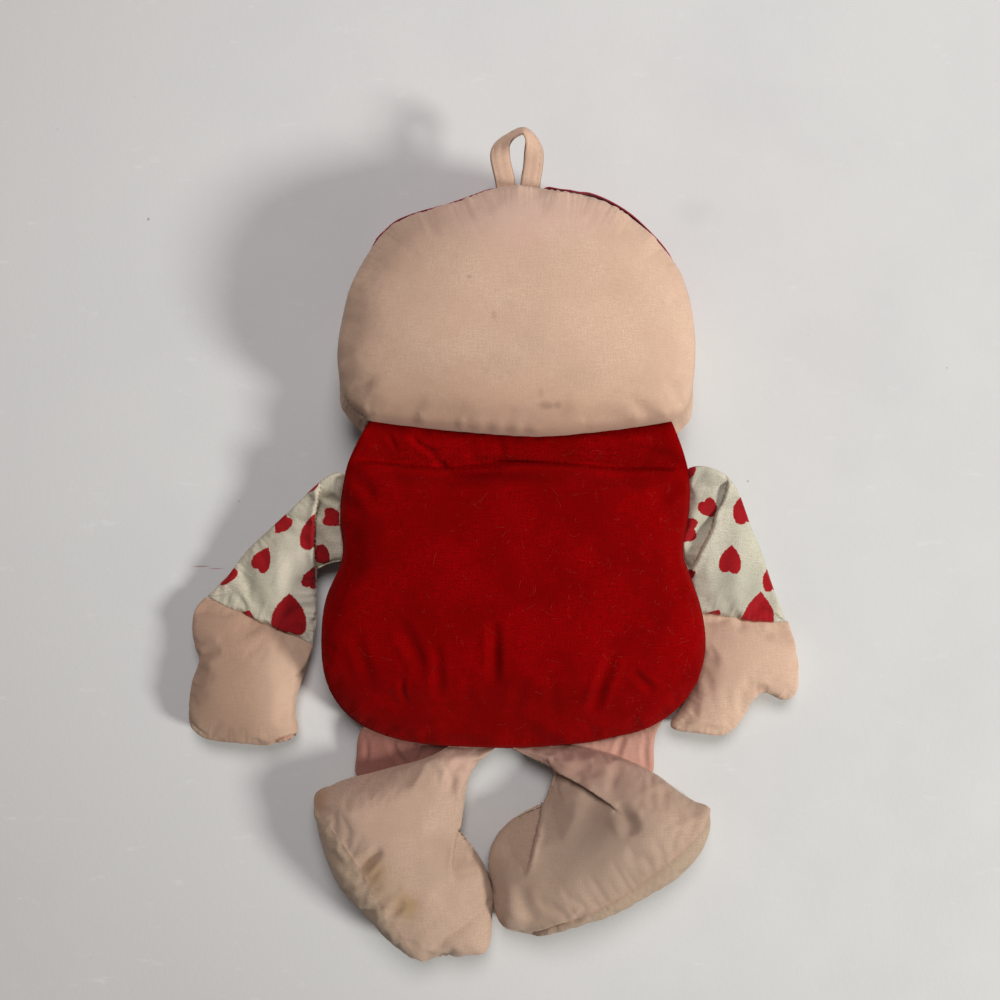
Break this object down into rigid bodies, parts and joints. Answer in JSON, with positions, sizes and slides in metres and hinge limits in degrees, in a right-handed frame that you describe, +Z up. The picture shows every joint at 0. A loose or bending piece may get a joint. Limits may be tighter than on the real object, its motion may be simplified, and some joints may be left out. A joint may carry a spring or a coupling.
{
  "type": "stuffed cloth doll",
  "caption": "Flat stuffed cloth doll with a wide head, hanging loop, limp arms and legs hinged on their seams, lying face down.",
  "frame": {"origin": "middle of the torso, on the flat underside of the front panel that rests on the table", "axes": "+Y towards the head and the hanging loop, +Z up out of the doll's back, +X towards the arm on the picture's right"},
  "size_m": [0.2696, 0.3615, 0.0602],
  "materials": {
    "peach_cotton": "plain-woven matt cotton, soiled",
    "red_cotton": "plain-woven matt cotton with lint",
    "heart_print_cotton": "cream cotton printed with red hearts",
    "hair_cotton": "plain-woven matt cotton",
    "stuffing": "loose polyester fibre"
  },
  "bodies": {
    "torso": {"body_back_panel": "red_cotton", "body_front_panel": "red_cotton", "body_stuffing": "stuffing"},
    "head": {"head_back_panel": "peach_cotton", "head_face_panel": "peach_cotton", "head_stuffing": "stuffing", "hair_panel": "hair_cotton"},
    "loop": {"hanging_loop": "peach_cotton"},
    "left_arm": {"left_sleeve": "heart_print_cotton", "left_sleeve_stuffing": "stuffing"},
    "left_hand": {"left_hand_back_panel": "peach_cotton", "left_hand_palm_panel": "peach_cotton", "left_hand_stuffing": "stuffing"},
    "right_arm": {"right_sleeve": "heart_print_cotton", "right_sleeve_stuffing": "stuffing"},
    "right_hand": {"right_hand_back_panel": "peach_cotton", "right_hand_palm_panel": "peach_cotton", "right_hand_stuffing": "stuffing"},
    "left_leg": {"left_leg": "peach_cotton"},
    "left_foot": {"left_foot_upper_side": "peach_cotton", "left_foot_lower_side": "peach_cotton", "left_foot_sole": "peach_cotton", "left_foot_stuffing": "stuffing"},
    "right_leg": {"right_leg": "peach_cotton"},
    "right_foot": {"right_foot_upper_side": "peach_cotton", "right_foot_lower_side": "peach_cotton", "right_foot_sole": "peach_cotton", "right_foot_stuffing": "stuffing"}
  },
  "joints": [
    {"name": "neck", "type": "hinge", "parent": "torso", "child": "head", "pos_m": [0, 0.0736, 0.031], "axis": [1, 0, 0], "range_deg": [-20, 35]},
    {"name": "loop_fold", "type": "hinge", "parent": "head", "child": "loop", "pos_m": [0, 0.178, 0.03165], "axis": [1, 0, 0], "range_deg": [-20, 80]},
    {"name": "left_shoulder", "type": "hinge", "parent": "torso", "child": "left_arm", "pos_m": [-0.0758, 0.036, 0.0229], "axis": [0, 0.9882, 0.1534], "range_deg": [-20, 90]},
    {"name": "left_wrist", "type": "hinge", "parent": "left_arm", "child": "left_hand", "pos_m": [-0.1134, -0.0112, 0.008], "axis": [0.9114, -0.4115, 0], "range_deg": [-60, 60]},
    {"name": "right_shoulder", "type": "hinge", "parent": "torso", "child": "right_arm", "pos_m": [0.0758, 0.036, 0.0229], "axis": [0, -0.9882, -0.1534], "range_deg": [-20, 45]},
    {"name": "right_wrist", "type": "hinge", "parent": "right_arm", "child": "right_hand", "pos_m": [0.0987, -0.0088, 0.008], "axis": [0.9917, -0.1283, 0], "range_deg": [-60, 60]},
    {"name": "left_hip", "type": "hinge", "parent": "torso", "child": "left_leg", "pos_m": [-0.041, -0.0619, 0.008], "axis": [0.9889, -0.1483, 0], "range_deg": [-50, 60]},
    {"name": "left_ankle", "type": "hinge", "parent": "left_leg", "child": "left_foot", "pos_m": [-0.0481, -0.0708, 0.0075], "axis": [-0.9593, -0.2823, 0], "range_deg": [-85, 45]},
    {"name": "right_hip", "type": "hinge", "parent": "torso", "child": "right_leg", "pos_m": [0.041, -0.0619, 0.008], "axis": [0.9889, 0.1483, 0], "range_deg": [-50, 60]},
    {"name": "right_ankle", "type": "hinge", "parent": "right_leg", "child": "right_foot", "pos_m": [0.0413, -0.0695, 0.0075], "axis": [-0.9542, 0.2992, 0], "range_deg": [-90, 35]}
  ]
}
